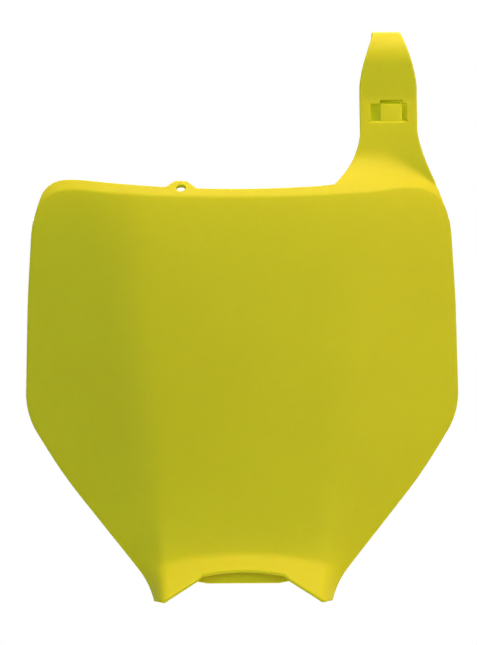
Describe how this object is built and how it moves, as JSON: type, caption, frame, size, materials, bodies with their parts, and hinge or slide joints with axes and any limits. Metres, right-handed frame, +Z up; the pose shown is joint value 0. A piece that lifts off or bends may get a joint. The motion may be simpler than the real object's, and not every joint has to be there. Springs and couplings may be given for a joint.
{
  "type": "front number board",
  "caption": "Moulded plastic front number board for an off-road motorcycle, with a wrap-over handlebar strap, a hook stud, a screw ear, a forward lip and a tongue at the foot.",
  "frame": {"origin": "middle of the round seat for the handlebar, inside the strap's curl", "axes": "+Z up and +X to the right as seen from the front, along the handlebar; the face looks along -Y"},
  "size_m": [0.2406, 0.1016, 0.3157],
  "materials": {
    "yellow_plastic": "moulded, satin, acid yellow"
  },
  "bodies": {
    "root": {"number_board": "yellow_plastic"}
  },
  "joints": []
}
